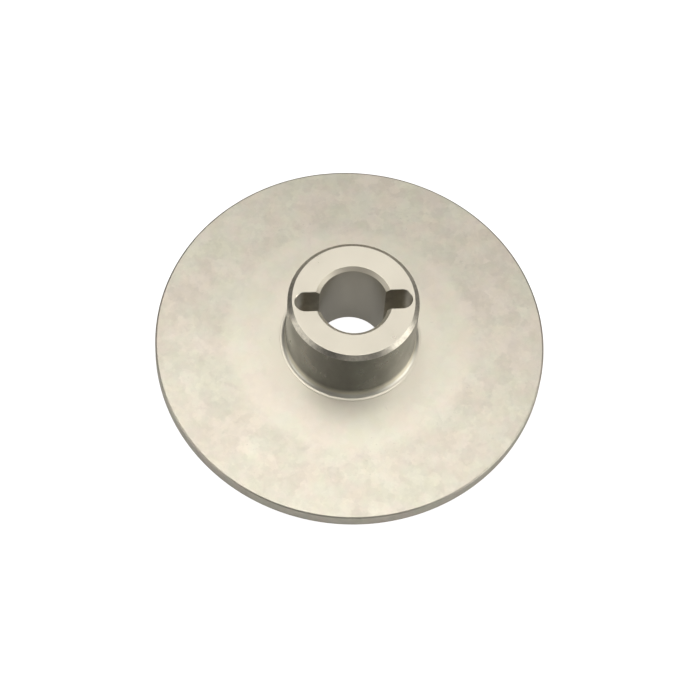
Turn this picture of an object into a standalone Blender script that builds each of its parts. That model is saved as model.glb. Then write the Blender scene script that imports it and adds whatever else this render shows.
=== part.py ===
"""Wheel head of a banding wheel: a turned disc with a slotted hub pressed into it.

Metres, +Z up. The origin is the middle of the disc's flat working face, which lies on z = 0.
The hub stands on the other side, its axis is +Z and its two drive slots run along X.
"""

import math

import bmesh
import bpy
from mathutils import Matrix

# Disc
DISC_RADIUS = 0.0762
RIM_THICKNESS = 0.00635
WEB_THICKNESS = 0.00865
RIM_EDGE = 0.0004

# Hub
TOTAL_HEIGHT = 0.0400
HUB_RADIUS = 0.02535
HUB_CHAMFER = 0.0015
FOOT_FILLET = 0.0018
FLANGE_RADIUS = 0.0276
FLANGE_SEAT_DEPTH = 0.0012
FLANGE_STANDS_PROUD = 0.0001
SPIGOT_RADIUS = 0.0206

# Bore and the slots that a cross pin drives
BORE_RADIUS = 0.01335
BORE_CHAMFER = 0.0015
BORE_BACK_CHAMFER = 0.0005
SLOT_WIDTH = 0.0080
SLOT_REACH = 0.0225
SLOT_DEPTH = 0.0280

# Clearance left between the two pieces, which the real press fit does not have
SEAT_GAP = 0.0003

DISC_SEGMENTS = 128
HUB_SEGMENTS = 96
FILLET_STEPS = 6
SLOT_END_STEPS = 16
CUTTER_OVERSHOOT = 0.005
SMOOTH_ANGLE = math.radians(30)

CAST_METAL = (0.73, 0.69, 0.60, 1.0)
TURNED_METAL = (0.70, 0.66, 0.58, 1.0)


def clear_scene():
    for obj in list(bpy.data.objects):
        bpy.data.objects.remove(obj)


def metal(name, colour, roughness):
    """A bare metal with the given colour and roughness."""
    material = bpy.data.materials.new(name)
    material.use_nodes = True
    shader = material.node_tree.nodes["Principled BSDF"]
    shader.inputs["Base Color"].default_value = colour
    shader.inputs["Metallic"].default_value = 1.0
    shader.inputs["Roughness"].default_value = roughness
    return material


def add_object(name, mesh):
    obj = bpy.data.objects.new(name, mesh)
    bpy.context.scene.collection.objects.link(obj)
    return obj


def arc(centre_x, centre_z, radius, start, end, steps):
    """Points of an arc in the profile plane, angles in radians from +X towards +Z."""
    points = []
    for step in range(steps + 1):
        angle = start + (end - start) * step / steps
        x = centre_x + radius * math.cos(angle)
        z = centre_z + radius * math.sin(angle)
        points.append((x, z))
    return points


def turned(name, profile, segments, material):
    """A solid of revolution about Z from a closed (radius, height) outline."""
    shape = bmesh.new()
    corners = [shape.verts.new((radius, 0.0, height)) for radius, height in profile]
    sides = []
    for index, corner in enumerate(corners):
        sides.append(shape.edges.new((corners[index - 1], corner)))
    bmesh.ops.spin(
        shape,
        geom=corners + sides,
        axis=(0.0, 0.0, 1.0),
        cent=(0.0, 0.0, 0.0),
        angle=math.tau,
        steps=segments,
        use_merge=True,
    )
    bmesh.ops.recalc_face_normals(shape, faces=shape.faces)
    mesh = bpy.data.meshes.new(name)
    shape.to_mesh(mesh)
    shape.free()
    mesh.shade_smooth()
    mesh.set_sharp_from_angle(angle=SMOOTH_ANGLE)
    mesh.materials.append(material)
    return add_object(name, mesh)


def slot_cutter():
    """A bar with round ends that cuts both drive slots across the hub's face."""
    end_radius = SLOT_WIDTH / 2
    end_centre = SLOT_REACH - end_radius
    floor_height = TOTAL_HEIGHT - SLOT_DEPTH
    quarter = math.pi / 2
    outline = arc(end_centre, 0.0, end_radius, -quarter, quarter, SLOT_END_STEPS)
    outline += arc(-end_centre, 0.0, end_radius, quarter, 3 * quarter, SLOT_END_STEPS)
    shape = bmesh.new()
    corners = [shape.verts.new((x, y, floor_height)) for x, y in outline]
    floor = shape.faces.new(corners)
    raised = bmesh.ops.extrude_face_region(shape, geom=[floor])
    top = [item for item in raised["geom"] if isinstance(item, bmesh.types.BMVert)]
    lift = Matrix.Translation((0.0, 0.0, SLOT_DEPTH + CUTTER_OVERSHOOT))
    bmesh.ops.transform(shape, matrix=lift, verts=top)
    bmesh.ops.recalc_face_normals(shape, faces=shape.faces)
    mesh = bpy.data.meshes.new("slot_cutter")
    shape.to_mesh(mesh)
    shape.free()
    cutter = add_object("slot_cutter", mesh)
    cutter.hide_render = True
    cutter.display_type = "WIRE"
    return cutter


def disc_profile():
    """The disc's outline: flat working face, rim, coned back and the hub's stepped seat."""
    seat_radius = SPIGOT_RADIUS + SEAT_GAP
    recess_radius = FLANGE_RADIUS + SEAT_GAP
    recess_floor = WEB_THICKNESS - FLANGE_SEAT_DEPTH
    return [
        (seat_radius, 0.0),
        (DISC_RADIUS - RIM_EDGE, 0.0),
        (DISC_RADIUS, RIM_EDGE),
        (DISC_RADIUS, RIM_THICKNESS - RIM_EDGE),
        (DISC_RADIUS - RIM_EDGE, RIM_THICKNESS),
        (recess_radius, WEB_THICKNESS),
        (recess_radius, recess_floor),
        (seat_radius, recess_floor),
    ]


def hub_profile():
    """The hub's outline: bore, driven face, wall, filleted flange and spigot."""
    flange_top = WEB_THICKNESS + FLANGE_STANDS_PROUD
    flange_bottom = WEB_THICKNESS - FLANGE_SEAT_DEPTH + SEAT_GAP
    fillet = arc(
        HUB_RADIUS + FOOT_FILLET,
        flange_top + FOOT_FILLET,
        FOOT_FILLET,
        math.pi,
        1.5 * math.pi,
        FILLET_STEPS,
    )
    return [
        (BORE_RADIUS + BORE_BACK_CHAMFER, 0.0),
        (BORE_RADIUS, BORE_BACK_CHAMFER),
        (BORE_RADIUS, TOTAL_HEIGHT - BORE_CHAMFER),
        (BORE_RADIUS + BORE_CHAMFER, TOTAL_HEIGHT),
        (HUB_RADIUS - HUB_CHAMFER, TOTAL_HEIGHT),
        (HUB_RADIUS, TOTAL_HEIGHT - HUB_CHAMFER),
        *fillet,
        (FLANGE_RADIUS, flange_top),
        (FLANGE_RADIUS, flange_bottom),
        (SPIGOT_RADIUS, flange_bottom),
        (SPIGOT_RADIUS, 0.0),
    ]


def make_disc():
    material = metal("cast_disc_metal", CAST_METAL, 0.45)
    return turned("wheel_disc", disc_profile(), DISC_SEGMENTS, material)


def make_hub():
    material = metal("turned_hub_metal", TURNED_METAL, 0.28)
    hub = turned("slotted_hub", hub_profile(), HUB_SEGMENTS, material)
    slots = hub.modifiers.new("drive_slots", "BOOLEAN")
    slots.operation = "DIFFERENCE"
    slots.solver = "EXACT"
    slots.object = slot_cutter()
    return hub


clear_scene()
make_disc()
make_hub()
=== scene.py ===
import math

import bmesh
import bpy
from mathutils import Matrix, Vector


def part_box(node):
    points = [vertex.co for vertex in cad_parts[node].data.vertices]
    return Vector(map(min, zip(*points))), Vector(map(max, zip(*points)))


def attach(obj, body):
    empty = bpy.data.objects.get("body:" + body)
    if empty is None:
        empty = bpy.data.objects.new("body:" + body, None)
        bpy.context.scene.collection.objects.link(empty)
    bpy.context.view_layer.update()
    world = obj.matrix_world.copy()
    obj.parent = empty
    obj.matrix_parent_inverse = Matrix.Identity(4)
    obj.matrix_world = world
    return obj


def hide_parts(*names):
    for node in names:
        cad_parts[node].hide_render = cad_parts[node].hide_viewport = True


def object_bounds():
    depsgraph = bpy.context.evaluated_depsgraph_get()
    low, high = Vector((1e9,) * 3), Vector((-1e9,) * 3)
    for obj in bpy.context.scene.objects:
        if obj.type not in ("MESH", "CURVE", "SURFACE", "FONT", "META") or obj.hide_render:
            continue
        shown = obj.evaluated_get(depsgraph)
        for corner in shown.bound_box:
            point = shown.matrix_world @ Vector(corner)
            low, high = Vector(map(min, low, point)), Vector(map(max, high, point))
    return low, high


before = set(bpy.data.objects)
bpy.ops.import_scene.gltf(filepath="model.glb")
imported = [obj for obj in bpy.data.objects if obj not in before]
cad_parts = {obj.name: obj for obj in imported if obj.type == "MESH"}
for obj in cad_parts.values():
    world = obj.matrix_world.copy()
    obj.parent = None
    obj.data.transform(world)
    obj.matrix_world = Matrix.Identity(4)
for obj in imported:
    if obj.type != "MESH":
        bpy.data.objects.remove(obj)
cad_low, cad_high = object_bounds()

MM = 0.001

# Two heights or radii closer than this are the same one
NEAR = 0.02 * MM

# Fine shape that the CAD solids leave out
DISC_SEGMENTS = 384
HUB_SEGMENTS = 288
ARC_STEPS = 8
RIM_ROUND = 0.9 * MM
EDGE_ROUND = 0.25 * MM
LIP_ROUND = 0.08 * MM
FOOT_ROUND = 2.1 * MM
SEAT_ROUND = 0.03 * MM
DISC_BORE_ROUND = 0.1 * MM
SLOT_EDGE_BREAK = 0.25 * MM
SLOT_END_STEPS = 48
JOINT_GAP = 0.02 * MM
FACE_HOLLOW = 0.08 * MM
FACE_TRIM = 0.22 * MM
CUTTER_OVERSHOOT = 3 * MM
WELD_DISTANCE = 0.001 * MM
SMOOTH_ANGLE = math.radians(24)

# Camera, placed from the disc's rim plane. Its distance and offsets are in disc radii.
CAMERA_ELEVATION = math.radians(62.92)
CAMERA_AZIMUTH = math.radians(-8.3)
CAMERA_ROLL = math.radians(-5.57)
CAMERA_DISTANCE = 15.58
CAMERA_OFFSET_RIGHT = -0.0051
CAMERA_OFFSET_UP = 0.0471
CAMERA_LENS_MM = 155.8
SENSOR_MM = 36.0
CAMERA_CLIP_END = 20.0

# Finishes
METAL = (0.80, 0.762, 0.668)
LAMP_COLOUR = (1.0, 0.97, 0.915)
DULL_AT_GRAZING = (0.36, 0.28, 0.18, 1.0)
TURNING_PITCH = 0.22 * MM
SKIN_ROUGH = 0.45

# The disc's skin. The smooth ring's edge is a share of the disc's radius.
SMOOTH_RING = 0.635
RING_FRAY = 5.0 * MM
RING_FADE = 5.0 * MM
RING_SHADE = (1.02, 1.02, 1.02, 1.0)
OUTER_SHADE = (0.93, 0.93, 0.93, 1.0)
SKIN_DARK = 0.85
SKIN_LIGHT = 1.07
SKIN_LEAN = 0.014
# Painted light: the disc's colour is lightened within this width of the hub's lip, to fill the shade
# that the hub casts and reflects there
PAINTED_FILL_WIDTH = 9.0 * MM
PAINTED_FILL_STRENGTH = 0.6
TURNED_FACE_START = 0.3 * MM
TURNED_FACE_END = 0.6 * MM

# Where the hub's finishes change, and where the painted highlights on its foot and lip and the painted
# light on its slots' round ends begin.
# The foot's heights are in fillet radii above the flange, and the slot's is a share of half its width.
FOOT_FADE_START = 2.7
FOOT_FADE_END = 1.1
LIP_FADE_START = 0.4 * MM
LIP_FADE_END = 0.1 * MM
SLOT_END_FADE = 0.6
COUNTERSINK_MARGIN = 0.15 * MM
UPRIGHT_BELOW = 0.3
LEVEL_ABOVE = 0.95

FLOOR_SIZE = 6.0
FLOOR_SEEN = 0.95
FLOOR_GLOW = 0.16
ROOM_GLOW = 0.02
LAMP_DISTANCE = 5.0


def ring(node, height):
    """Inner and outer radius of a CAD node's points at one height."""
    radii = []
    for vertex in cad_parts[node].data.vertices:
        if abs(vertex.co.z - height) < NEAR:
            radii.append(vertex.co.xy.length)
    return min(radii), max(radii)


def heights_at(node, radius):
    """Lowest and highest of a CAD node's points at one radius."""
    heights = []
    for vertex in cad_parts[node].data.vertices:
        if abs(vertex.co.xy.length - radius) < NEAR:
            heights.append(vertex.co.z)
    return min(heights), max(heights)


def arc_between(before, corner, after, radius, steps):
    """Points of the round that replaces a corner of an outline."""
    corner = Vector(corner)
    way_in = (corner - Vector(before)).normalized()
    way_out = (Vector(after) - corner).normalized()
    turn = math.acos(max(-1.0, min(1.0, way_in.dot(way_out))))
    back = radius * math.tan(turn / 2)
    start = corner - way_in * back
    side = Vector((-way_in.y, way_in.x))
    if side.dot(way_out) < 0:
        side.negate()
    centre = start + side * radius
    spoke = start - centre
    points = []
    for step in range(steps + 1):
        angle = turn * step / steps
        swing = spoke * math.cos(angle) + way_in * radius * math.sin(angle)
        points.append(tuple(centre + swing))
    return points


def rounded(corners):
    """A closed outline from (x, z, corner radius) triples, with its corners rounded."""
    points = []
    count = len(corners)
    for index, (x, z, radius) in enumerate(corners):
        before = corners[index - 1][:2]
        after = corners[(index + 1) % count][:2]
        if radius:
            points += arc_between(before, (x, z), after, radius, ARC_STEPS)
        else:
            points.append((x, z))
    return points


def mesh_object(name, shape):
    """An object from a bmesh, with its faces turned outwards."""
    mesh = bpy.data.meshes.new(name)
    bmesh.ops.recalc_face_normals(shape, faces=shape.faces)
    shape.to_mesh(mesh)
    shape.free()
    obj = bpy.data.objects.new(name, mesh)
    bpy.context.scene.collection.objects.link(obj)
    return obj


def turned(name, outline, segments):
    """A solid of revolution about Z from a closed (radius, height) outline."""
    shape = bmesh.new()
    corners = [shape.verts.new((radius, 0.0, height)) for radius, height in outline]
    sides = []
    for index, corner in enumerate(corners):
        sides.append(shape.edges.new((corners[index - 1], corner)))
    bmesh.ops.spin(
        shape,
        geom=corners + sides,
        axis=(0.0, 0.0, 1.0),
        cent=(0.0, 0.0, 0.0),
        angle=math.tau,
        steps=segments,
        use_merge=True,
    )
    return mesh_object(name, shape)


def stadium(reach, half_width, height):
    """Points round a slot's outline, whose ends lie at plus and minus reach on X."""
    centre = reach - half_width
    points = []
    for end, start_angle in ((centre, -math.pi / 2), (-centre, math.pi / 2)):
        for step in range(SLOT_END_STEPS + 1):
            angle = start_angle + math.pi * step / SLOT_END_STEPS
            x = end + half_width * math.cos(angle)
            y = half_width * math.sin(angle)
            points.append((x, y, height))
    return points


def slot_cutter(reach, half_width, floor_height, face_height):
    """The cutter for both drive slots: straight walls that flare where they meet the face."""
    levels = (
        (0.0, floor_height),
        (0.0, face_height - SLOT_EDGE_BREAK),
        (SLOT_EDGE_BREAK + CUTTER_OVERSHOOT, face_height + CUTTER_OVERSHOOT),
    )
    shape = bmesh.new()
    rings = []
    for flare, height in levels:
        outline = stadium(reach + flare, half_width + flare, height)
        rings.append([shape.verts.new(point) for point in outline])
    shape.faces.new(rings[0])
    shape.faces.new(rings[-1])
    for lower, upper in zip(rings, rings[1:]):
        for index, vertex in enumerate(lower):
            beside = lower[index - 1]
            shape.faces.new((beside, vertex, upper[index], upper[index - 1]))
    return mesh_object("slot_cutter", shape)


# Materials


class Nodes:
    """Short ways to add shader nodes to one material and join them."""

    def __init__(self, material):
        material.use_nodes = True
        self.tree = material.node_tree
        self.shader = self.tree.nodes["Principled BSDF"]

    def add(self, kind, **settings):
        node = self.tree.nodes.new(kind)
        for key, value in settings.items():
            setattr(node, key, value)
        return node

    def feed(self, source, socket):
        """Joins a socket to another, or sets it to a plain value."""
        if isinstance(source, bpy.types.NodeSocket):
            self.tree.links.new(source, socket)
        else:
            socket.default_value = source

    def drive(self, source, name):
        """Joins a socket to one of the shader's inputs."""
        self.feed(source, self.shader.inputs[name])

    def set(self, name, value):
        """Sets one of the shader's inputs to a plain value."""
        self.shader.inputs[name].default_value = value

    def math(self, operation, first, second=0.0):
        node = self.add("ShaderNodeMath", operation=operation)
        self.feed(first, node.inputs[0])
        self.feed(second, node.inputs[1])
        return node.outputs[0]

    def place(self):
        """Position on the object, in metres."""
        return self.add("ShaderNodeTexCoord").outputs["Object"]

    def axis(self, name):
        split = self.add("ShaderNodeSeparateXYZ")
        self.feed(self.place(), split.inputs[0])
        return split.outputs[name]

    def radius(self):
        """Distance from the hub's axis."""
        x_squared = self.math("POWER", self.math("ABSOLUTE", self.axis("X")), 2.0)
        y_squared = self.math("POWER", self.math("ABSOLUTE", self.axis("Y")), 2.0)
        return self.math("SQRT", self.math("ADD", x_squared, y_squared))

    def noise(self, scale, detail=2.0, roughness=0.5, distortion=0.0, stretch=None):
        """A noise value from 0 to 1, about 0.5 on average. Scale is per metre."""
        node = self.add("ShaderNodeTexNoise")
        where = self.place()
        if stretch is not None:
            mapping = self.add("ShaderNodeMapping")
            mapping.inputs["Scale"].default_value = stretch
            self.feed(where, mapping.inputs["Vector"])
            where = mapping.outputs[0]
        self.feed(where, node.inputs["Vector"])
        node.inputs["Scale"].default_value = scale
        node.inputs["Detail"].default_value = detail
        node.inputs["Roughness"].default_value = roughness
        node.inputs["Distortion"].default_value = distortion
        return node.outputs["Fac"]

    def cells(self, scale, warp):
        """A value for each patch of an irregular patchwork. Scale is per metre, warp in metres."""
        push = self.add("ShaderNodeTexNoise")
        self.feed(self.place(), push.inputs["Vector"])
        push.inputs["Scale"].default_value = scale * 1.6
        push.inputs["Detail"].default_value = 4.0
        offset = self.add("ShaderNodeVectorMath", operation="SCALE")
        self.feed(push.outputs["Color"], offset.inputs[0])
        offset.inputs["Scale"].default_value = warp
        moved = self.add("ShaderNodeVectorMath", operation="ADD")
        self.feed(self.place(), moved.inputs[0])
        self.feed(offset.outputs[0], moved.inputs[1])
        node = self.add("ShaderNodeTexVoronoi", feature="SMOOTH_F1")
        self.feed(moved.outputs[0], node.inputs["Vector"])
        node.inputs["Scale"].default_value = scale
        node.inputs["Smoothness"].default_value = 0.25
        split = self.add("ShaderNodeSeparateColor")
        self.feed(node.outputs["Color"], split.inputs[0])
        return split.outputs[0]

    def span(self, value, low, high, to_low, to_high):
        """Maps low..high onto to_low..to_high, without going past either end."""
        node = self.add("ShaderNodeMapRange")
        self.feed(value, node.inputs["Value"])
        node.inputs["From Min"].default_value = low
        node.inputs["From Max"].default_value = high
        node.inputs["To Min"].default_value = to_low
        node.inputs["To Max"].default_value = to_high
        return node.outputs["Result"]

    def blend(self, factor, first, second, way="MIX"):
        """Mixes two colours."""
        node = self.add("ShaderNodeMix", data_type="RGBA", blend_type=way)
        self.feed(factor, node.inputs["Factor"])
        self.feed(first, node.inputs["A"])
        self.feed(second, node.inputs["B"])
        return node.outputs["Result"]

    def mix(self, factor, first, second):
        """Mixes two values."""
        node = self.add("ShaderNodeMix")
        self.feed(factor, node.inputs["Factor"])
        self.feed(first, node.inputs["A"])
        self.feed(second, node.inputs["B"])
        return node.outputs["Result"]

    def brush(self, anisotropy):
        """Stretches highlights across marks that run round the axis."""
        self.set("Anisotropic", anisotropy)
        self.set("Anisotropic Rotation", 0.25)
        around = self.add("ShaderNodeTangent", direction_type="RADIAL", axis="Z")
        self.drive(around.outputs[0], "Tangent")

    def bump(self, height, depth, under=None):
        """Turns a height from 0 to 1 into relief of the given depth, over another relief."""
        node = self.add("ShaderNodeBump")
        node.inputs["Strength"].default_value = 1.0
        node.inputs["Distance"].default_value = depth
        self.feed(height, node.inputs["Height"])
        if under is not None:
            self.feed(under, node.inputs["Normal"])
        return node.outputs["Normal"]


def tint(level, lean=0.0, cool=0.0):
    """The metal's colour, lighter or darker, leaning to pink (or, below 0, to green) and to blue."""
    red, green, blue = METAL
    warm = 1 - cool
    return (level * red * (1 + lean) * warm, level * green * (1 - lean), level * blue / warm, 1.0)


def metal(name):
    """A new metallic material and its nodes."""
    material = bpy.data.materials.new(name)
    nodes = Nodes(material)
    nodes.set("Metallic", 1.0)
    return material, nodes


def cast_skin(disc):
    """The disc's matt skin: mottled outside a smooth ring round the hub, with a turned face and painted
    light that lightens it next to the hub.
    """
    material, nodes = metal("cast_skin")
    frayed = nodes.math("MULTIPLY", nodes.noise(260.0, detail=4.0, roughness=0.6), RING_FRAY)
    reach = nodes.math("ADD", nodes.radius(), frayed)
    outside = nodes.span(reach, disc["ring_edge"], disc["ring_edge"] + RING_FADE, 0.0, 1.0)
    patches = nodes.mix(0.4, nodes.cells(180.0, 0.0070), nodes.cells(480.0, 0.0032))
    mottle = nodes.noise(420.0, detail=6.0, roughness=0.62, distortion=0.8)
    drift = nodes.noise(60.0, detail=3.0, roughness=0.55)
    clouds = nodes.mix(0.35, nodes.mix(0.4, patches, mottle), drift)
    clouds = nodes.mix(nodes.mix(outside, 0.40, 1.0), 0.5, clouds)
    shade = nodes.span(clouds, 0.2, 0.8, 0.0, 1.0)
    warm = nodes.blend(shade, tint(SKIN_DARK, SKIN_LEAN), tint(SKIN_LIGHT, SKIN_LEAN))
    cool = nodes.blend(shade, tint(SKIN_DARK, -SKIN_LEAN), tint(SKIN_LIGHT, -SKIN_LEAN))
    hue = nodes.span(nodes.noise(85.0, detail=4.0, roughness=0.6), 0.40, 0.60, 0.0, 1.0)
    colour = nodes.blend(hue, warm, cool)
    sky = nodes.span(nodes.noise(130.0, detail=5.0, roughness=0.6, distortion=0.4), 0.35, 0.65, 0.0, 1.0)
    veil = nodes.blend(sky, (1.0, 1.0, 0.98, 1.0), (1.0, 1.0, 1.02, 1.0))
    colour = nodes.blend(1.0, colour, veil, "MULTIPLY")
    halo = nodes.blend(outside, RING_SHADE, OUTER_SHADE)
    colour = nodes.blend(1.0, colour, halo, "MULTIPLY")
    # Painted light: lightens the skin next to the hub, where the hub's shade falls
    painted_fill = nodes.span(nodes.radius(), disc["lip"], disc["lip"] + PAINTED_FILL_WIDTH, 1.0, 0.0)
    colour = nodes.blend(nodes.math("MULTIPLY", painted_fill, PAINTED_FILL_STRENGTH), colour, tint(1.20))

    pits = nodes.noise(620.0, detail=2.0, roughness=0.6)
    sparse = nodes.span(nodes.noise(60.0), 0.50, 0.62, 0.0, 1.0)
    pitted = nodes.math("MULTIPLY", nodes.span(pits, 0.68, 0.75, 0.0, 0.22), sparse)
    colour = nodes.blend(pitted, colour, tint(0.45))
    nodes.drive(colour, "Base Color")

    turned_zone = nodes.span(nodes.axis("Z"), disc["face_start"], disc["face_end"], 1.0, 0.0)
    smooth = nodes.span(clouds, 0.3, 0.7, SKIN_ROUGH + 0.015, SKIN_ROUGH - 0.015)
    nodes.drive(nodes.mix(turned_zone, smooth, 0.30), "Roughness")

    waves = nodes.bump(nodes.noise(75.0, detail=2.0, roughness=0.4), 0.014 * MM)
    cast = nodes.bump(nodes.math("MULTIPLY", mottle, outside), 0.005 * MM, waves)
    grain = nodes.bump(nodes.noise(1500.0, detail=4.0, roughness=0.65), 0.012 * MM, cast)
    travel = nodes.math("MULTIPLY", nodes.radius(), math.tau / TURNING_PITCH)
    groove = nodes.math("MULTIPLY", nodes.math("SINE", travel), turned_zone)
    nodes.drive(nodes.bump(groove, 0.002 * MM, grain), "Normal")
    return material


def turned_metal(name, level, roughness, anisotropy, marks, wear, ends=(), cool=0.0):
    """Lathe-turned metal: fine marks round the axis, uneven depth of cut and faint smears.

    Each of the ends is a start height, an end height, and the roughness, the tint level and the
    lean to blue that the metal has from the end height on.
    """
    material, nodes = metal(name)
    smears = nodes.noise(110.0, detail=5.0, roughness=0.6, stretch=(1.0, 1.0, 0.5))
    worn = nodes.span(smears, 0.3, 0.7, 0.0, 1.0)
    colour = nodes.blend(worn, tint(level * (1 - wear), 0.0, cool), tint(level, 0.0, cool))
    rough = nodes.span(smears, 0.3, 0.7, roughness + 0.05, roughness - 0.03)
    for start, end, end_roughness, end_level, end_cool in ends:
        there = nodes.span(nodes.axis("Z"), start, end, 0.0, 1.0)
        colour = nodes.blend(there, colour, tint(end_level, 0.0, end_cool))
        rough = nodes.mix(there, rough, end_roughness)
    nodes.drive(colour, "Base Color")
    nodes.drive(rough, "Roughness")
    travel = nodes.math("ADD", nodes.radius(), nodes.axis("Z"))
    ridges = nodes.math("SINE", nodes.math("MULTIPLY", travel, math.tau / TURNING_PITCH))
    uneven = nodes.noise(500.0, detail=3.0)
    cuts = nodes.math("MULTIPLY", ridges, uneven)
    dents = nodes.bump(nodes.noise(260.0, detail=3.0, roughness=0.6), 0.0015 * MM)
    nodes.drive(nodes.bump(cuts, marks, dents), "Normal")
    nodes.brush(anisotropy)
    return material


def scraped_metal(name):
    """The broken edges round the hub's face and slots: scraped by hand, with uneven patches."""
    material, nodes = metal(name)
    scrapes = nodes.noise(900.0, detail=4.0, roughness=0.65)
    patches = nodes.noise(170.0, detail=3.0)
    shade = nodes.span(nodes.mix(0.4, scrapes, patches), 0.36, 0.64, 0.0, 1.0)
    nodes.drive(nodes.blend(shade, tint(0.74), tint(1.12)), "Base Color")
    nodes.drive(nodes.span(patches, 0.3, 0.7, 0.40, 0.32), "Roughness")
    nodes.drive(nodes.bump(scrapes, 0.012 * MM), "Normal")
    nodes.set("Specular Tint", DULL_AT_GRAZING)
    return material


def milled_metal(end_start, end_stop):
    """The slots' walls: darkened by painted shade, left rough by the cutter, and lightened at their
    round ends by painted light.
    """
    material, nodes = metal("milled_slots")
    grime = nodes.noise(240.0, detail=5.0, roughness=0.65)
    shade = nodes.span(grime, 0.3, 0.7, 0.0, 1.0)
    # Painted shade: the straight walls are darkened where the slot lies in shade
    straight = nodes.blend(shade, tint(0.60), tint(0.74))
    end = nodes.span(nodes.math("ABSOLUTE", nodes.axis("X")), end_start, end_stop, 0.0, 1.0)
    # Painted light: the round ends are lightened where they catch light
    nodes.drive(nodes.blend(end, straight, tint(1.15)), "Base Color")
    nodes.drive(nodes.span(grime, 0.3, 0.7, 0.46, 0.36), "Roughness")
    strokes = nodes.noise(900.0, detail=3.0, roughness=0.6, stretch=(1.0, 1.0, 0.08))
    nodes.drive(nodes.bump(strokes, 0.010 * MM), "Normal")
    return material


def floor_material():
    """A matt white sweep that photographs as clean white."""
    material = bpy.data.materials.new("white_sweep")
    nodes = Nodes(material)
    nodes.set("Base Color", (0.50, 0.50, 0.50, 1.0))
    nodes.set("Roughness", 0.9)
    nodes.set("Specular IOR Level", 0.2)
    nodes.set("Emission Color", (1.0, 1.0, 1.0, 1.0))
    seen = nodes.add("ShaderNodeLightPath").outputs["Is Camera Ray"]
    nodes.drive(nodes.mix(seen, FLOOR_GLOW, FLOOR_SEEN), "Emission Strength")
    return material


# Pieces


def make_disc():
    """The wheel's disc: flat working face, rounded rim, coned back and the hub's seat."""
    low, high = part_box("wheel_disc")
    radius = high.x
    rim_low, rim_high = heights_at("wheel_disc", radius)
    edge = rim_low - low.z
    rim_top = rim_high + edge
    web_top = high.z
    recess = ring("wheel_disc", web_top)[0]
    recess_floor = heights_at("wheel_disc", ring("wheel_disc", low.z)[0])[1]
    spigot = ring("slotted_hub", low.z)[1]
    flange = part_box("slotted_hub")[1].x
    cone = (web_top - rim_top) / (radius - recess)
    lip = flange + JOINT_GAP
    outline = rounded(
        [
            (spigot + JOINT_GAP, low.z, DISC_BORE_ROUND),
            (radius, low.z, RIM_ROUND),
            (radius, rim_top, RIM_ROUND),
            (lip, web_top + cone * (recess - lip), SEAT_ROUND),
            (lip, recess_floor, 0.0),
            (spigot + JOINT_GAP, recess_floor, 0.0),
        ]
    )
    disc = turned("disc_body", outline, DISC_SEGMENTS)
    zone = {
        "face_start": low.z + TURNED_FACE_START,
        "face_end": low.z + TURNED_FACE_END,
        "ring_edge": SMOOTH_RING * radius,
        "lip": lip,
    }
    disc.data.materials.append(cast_skin(zone))
    keep_flats_flat(disc)
    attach(disc, "root")
    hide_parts("wheel_disc")


def measure_hub():
    """The hub's main sizes, read from the points of its CAD solid."""
    low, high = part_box("slotted_hub")
    points = [vertex.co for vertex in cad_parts["slotted_hub"].data.vertices]
    bore = min(point.xy.length for point in points)
    face_inner, face_outer = ring("slotted_hub", high.z)
    chamfer = face_inner - bore
    wall = ring("slotted_hub", high.z - chamfer)[1]
    flange_bottom, flange_top = heights_at("slotted_hub", high.x)
    fillet = heights_at("slotted_hub", wall)[0] - flange_top
    inner = [p for p in points if bore + MM < p.xy.length < face_outer and p.z > flange_top]
    slot_floor = min(point.z for point in inner)
    floor_points = [point for point in inner if point.z < slot_floor + EDGE_ROUND]
    return {
        "bottom": low.z,
        "top": high.z,
        "bore": bore,
        "chamfer": chamfer,
        "wall": wall,
        "flange": high.x,
        "flange_top": flange_top,
        "flange_bottom": flange_bottom,
        "fillet": fillet,
        "spigot": ring("slotted_hub", low.z)[1],
        "back_chamfer": ring("slotted_hub", low.z)[0] - bore,
        "slot_floor": slot_floor,
        "slot_reach": max(point.x for point in floor_points),
        "slot_half_width": max(point.y for point in floor_points),
    }


def hub_outline(hub):
    """The hub's turned outline, from its bore over the face and down to the spigot."""
    inner = hub["bore"] + hub["chamfer"]
    outer = hub["wall"] - hub["chamfer"] - FACE_TRIM
    shoulder = hub["top"] - hub["chamfer"]
    recess_floor = heights_at("wheel_disc", ring("wheel_disc", hub["bottom"])[0])[1]
    return rounded(
        [
            (hub["bore"] + hub["back_chamfer"], hub["bottom"], 0.0),
            (hub["bore"], hub["bottom"] + hub["back_chamfer"], 0.0),
            (hub["bore"], shoulder - FACE_HOLLOW, EDGE_ROUND),
            (inner, hub["top"] - FACE_HOLLOW, EDGE_ROUND),
            (outer, hub["top"], EDGE_ROUND),
            (hub["wall"], shoulder, EDGE_ROUND),
            (hub["wall"], hub["flange_top"], FOOT_ROUND),
            (hub["flange"], hub["flange_top"], LIP_ROUND),
            (hub["flange"], recess_floor + JOINT_GAP, 0.0),
            (hub["spigot"], recess_floor + JOINT_GAP, 0.0),
            (hub["spigot"], hub["bottom"], 0.0),
        ]
    )


def cut(obj, cutter):
    """Takes the cutter's shape out of the object, for good."""
    difference = obj.modifiers.new("cut", "BOOLEAN")
    difference.operation = "DIFFERENCE"
    difference.solver = "EXACT"
    difference.object = cutter
    graph = bpy.context.evaluated_depsgraph_get()
    mesh = bpy.data.meshes.new_from_object(obj.evaluated_get(graph), depsgraph=graph)
    shape = bmesh.new()
    shape.from_mesh(mesh)
    bmesh.ops.remove_doubles(shape, verts=shape.verts, dist=WELD_DISTANCE)
    shape.to_mesh(mesh)
    shape.free()
    obj.modifiers.clear()
    obj.data = mesh
    bpy.data.objects.remove(cutter)


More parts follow.
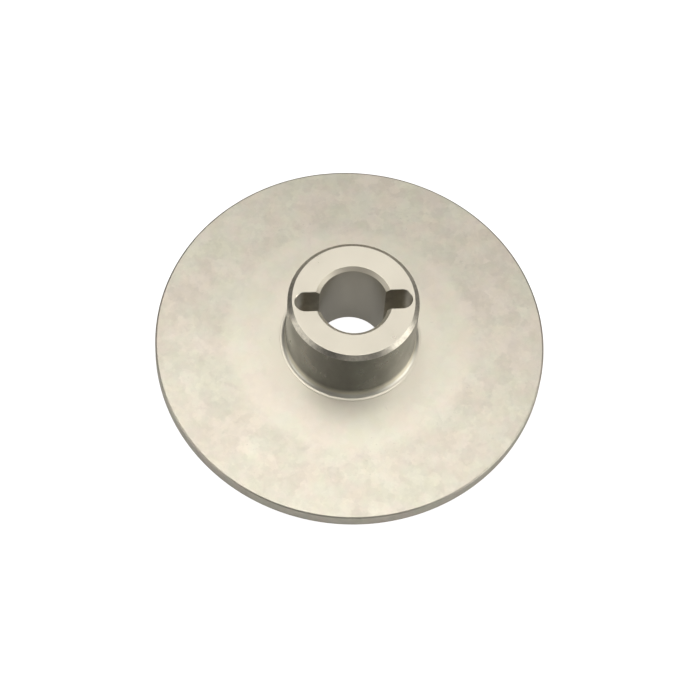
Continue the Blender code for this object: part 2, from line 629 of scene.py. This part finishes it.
def keep_flats_flat(obj):
    """Shades the large faces as flat and lets the small rounds between them blend."""
    obj.data.shade_smooth()
    obj.data.set_sharp_from_angle(angle=SMOOTH_ANGLE)
    weighted = obj.modifiers.new("weighted_normals", "WEIGHTED_NORMAL")
    weighted.mode = "FACE_AREA"
    weighted.keep_sharp = True


def finish_hub(hub, sizes):
    """Gives the hub's wall, faced end, bore, slots and broken edges their own finishes, with painted
    shade on the wall and the slots and painted light on the foot, the lip and the slots' round ends.
    """
    hub.data.materials.clear()
    wall, face, bore, slots, broken = range(5)
    shoulder = sizes["top"] - sizes["chamfer"]
    flange_top = sizes["flange_top"]
    foot_start = flange_top + FOOT_FADE_START * sizes["fillet"]
    foot_end = flange_top + FOOT_FADE_END * sizes["fillet"]
    # Painted highlights: the foot's and the lip's tint levels of 1.15 and 1.12 lighten the fillet and
    # the flange's edge
    foot = (foot_start, foot_end, 0.42, 1.15, 0.03)
    lip = (flange_top + LIP_FADE_START, flange_top + LIP_FADE_END, 0.45, 1.12, 0.0)
    countersink = (shoulder - EDGE_ROUND, shoulder, 0.60, 1.15, 0.0)
    slot_end = sizes["slot_reach"] - SLOT_END_FADE * sizes["slot_half_width"]
    finishes = (
        turned_metal(
            "turned_wall",
            # Painted shade: this low tint level darkens the hub's side
            level=0.45,
            roughness=0.28,
            anisotropy=0.0,
            marks=0.0010 * MM,
            wear=0.28,
            ends=(foot, lip),
            cool=0.05,
        ),
        turned_metal(
            "faced_end",
            level=0.99,
            roughness=0.30,
            anisotropy=0.15,
            marks=0.0010 * MM,
            wear=0.02,
        ),
        turned_metal(
            "bored_hole",
            level=0.84,
            roughness=0.32,
            anisotropy=0.2,
            marks=0.0020 * MM,
            wear=0.05,
            ends=(countersink,),
        ),
        milled_metal(slot_end, sizes["slot_reach"]),
        scraped_metal("broken_edge"),
    )
    for finish in finishes:
        hub.data.materials.append(finish)
    for polygon in hub.data.polygons:
        height = polygon.center.z
        radius = polygon.center.xy.length
        upright = abs(polygon.normal.z) < UPRIGHT_BELOW
        level = polygon.normal.z > LEVEL_ABOVE
        below_face = sizes["slot_floor"] - EDGE_ROUND < height < sizes["top"] - EDGE_ROUND
        rise = height - sizes["top"] + sizes["chamfer"] + FACE_HOLLOW
        off_cone = abs(radius - sizes["bore"] - max(0.0, rise))
        countersunk = off_cone < COUNTERSINK_MARGIN and not level
        if radius < sizes["bore"] + NEAR or countersunk:
            polygon.material_index = bore
        elif radius < sizes["slot_reach"] + NEAR and below_face and (upright or level):
            polygon.material_index = slots
        elif level and height > sizes["top"] - FACE_HOLLOW - NEAR:
            polygon.material_index = face
        elif height > shoulder - EDGE_ROUND:
            polygon.material_index = broken
        else:
            polygon.material_index = wall


def make_hub():
    """The turned hub: bore, chamfers, filleted flange, spigot and two drive slots."""
    sizes = measure_hub()
    hub = turned("hub_body", hub_outline(sizes), HUB_SEGMENTS)
    cutter = slot_cutter(
        sizes["slot_reach"], sizes["slot_half_width"], sizes["slot_floor"], sizes["top"]
    )
    cut(hub, cutter)
    finish_hub(hub, sizes)
    keep_flats_flat(hub)
    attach(hub, "root")
    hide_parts("slotted_hub")


def make_floor():
    mesh = bpy.data.meshes.new("floor")
    half = FLOOR_SIZE / 2
    corners = [(-half, -half, 0.0), (half, -half, 0.0), (half, half, 0.0), (-half, half, 0.0)]
    mesh.from_pydata(corners, [], [(0, 1, 2, 3)])
    mesh.materials.append(floor_material())
    floor = bpy.data.objects.new("floor", mesh)
    floor.location.z = cad_low.z
    bpy.context.scene.collection.objects.link(floor)


def soft_box(name, azimuth, elevation, size, power):
    """A soft box aimed at the hub, its size and power given as they would be one metre away.

    Azimuth 0 is on the camera's side and 90 is on its right.
    """
    turn = math.radians(azimuth) + CAMERA_AZIMUTH
    lift = math.radians(elevation)
    level = math.cos(lift)
    away = Vector((math.sin(turn) * level, -math.cos(turn) * level, math.sin(lift)))
    data = bpy.data.lights.new(name, "AREA")
    data.shape = "RECTANGLE"
    data.size = size[0] * LAMP_DISTANCE
    data.size_y = size[1] * LAMP_DISTANCE
    data.color = LAMP_COLOUR
    data.energy = power * LAMP_DISTANCE ** 2
    light = bpy.data.objects.new(name, data)
    light.location = away * LAMP_DISTANCE
    light.rotation_mode = "QUATERNION"
    light.rotation_quaternion = away.to_track_quat("Z", "Y")
    bpy.context.scene.collection.objects.link(light)


def make_camera():
    """A long lens, looking down on the hub's side, rolled as the picture is."""
    sight = Vector((0.0, math.cos(CAMERA_ELEVATION), -math.sin(CAMERA_ELEVATION)))
    up = Vector((0.0, math.sin(CAMERA_ELEVATION), math.cos(CAMERA_ELEVATION)))
    right = Vector((1.0, 0.0, 0.0))
    turn = Matrix.Rotation(CAMERA_AZIMUTH, 3, "Z")
    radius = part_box("wheel_disc")[1].x
    rim_top = heights_at("wheel_disc", radius)[1]
    offset = right * CAMERA_OFFSET_RIGHT + up * CAMERA_OFFSET_UP + sight * CAMERA_DISTANCE
    cosine, sine = math.cos(CAMERA_ROLL), math.sin(CAMERA_ROLL)
    axis_x = turn @ (right * cosine - up * sine)
    axis_y = turn @ (right * sine + up * cosine)
    axis_z = turn @ -sight
    data = bpy.data.cameras.new("camera")
    data.sensor_width = SENSOR_MM
    data.lens = CAMERA_LENS_MM
    data.clip_end = CAMERA_CLIP_END
    camera = bpy.data.objects.new("camera", data)
    pose = Matrix((axis_x, axis_y, axis_z)).transposed().to_4x4()
    pose.translation = Vector((0.0, 0.0, rim_top)) - turn @ (offset * radius)
    camera.matrix_world = pose
    bpy.context.scene.collection.objects.link(camera)
    bpy.context.scene.camera = camera


def make_world():
    """White to the camera, as the floor is, and nearly dark to the object."""
    world = bpy.data.worlds.new("studio")
    world.use_nodes = True
    tree = world.node_tree
    background = tree.nodes["Background"]
    background.inputs["Color"].default_value = (1.0, 1.0, 1.0, 1.0)
    seen = tree.nodes.new("ShaderNodeLightPath").outputs["Is Camera Ray"]
    strength = tree.nodes.new("ShaderNodeMath")
    strength.operation = "MAXIMUM"
    strength.inputs[1].default_value = ROOM_GLOW
    tree.links.new(seen, strength.inputs[0])
    tree.links.new(strength.outputs[0], background.inputs["Strength"])
    bpy.context.scene.world = world


bpy.context.scene.view_settings.view_transform = "Standard"
make_camera()
make_disc()
make_hub()
make_floor()
make_world()
soft_box("zenith_box", 180.0, 86.0, (0.60, 0.55), 0.55)
soft_box("zenith_left_box", 270.0, 76.0, (0.40, 0.40), 1.03)
soft_box("zenith_right_box", 90.0, 76.0, (0.40, 0.40), 0.85)
soft_box("back_box", 180.0, 62.0, (0.65, 0.45), 0.50)
soft_box("back_left_box", 228.0, 66.0, (0.45, 0.45), 1.02)
soft_box("back_right_box", 132.0, 66.0, (0.45, 0.45), 0.75)
soft_box("low_back_box", 185.0, 44.0, (0.80, 0.30), 0.38)
soft_box("right_low_box", 74.0, 18.0, (0.75, 0.40), 1.75)
soft_box("right_high_box", 90.0, 32.0, (0.45, 0.40), 1.30)
soft_box("left_low_box", 292.0, 18.0, (0.80, 0.35), 1.25)
soft_box("left_high_box", 280.0, 28.0, (0.40, 0.40), 0.25)
soft_box("front_box", 10.0, 26.0, (0.60, 0.40), 0.34)
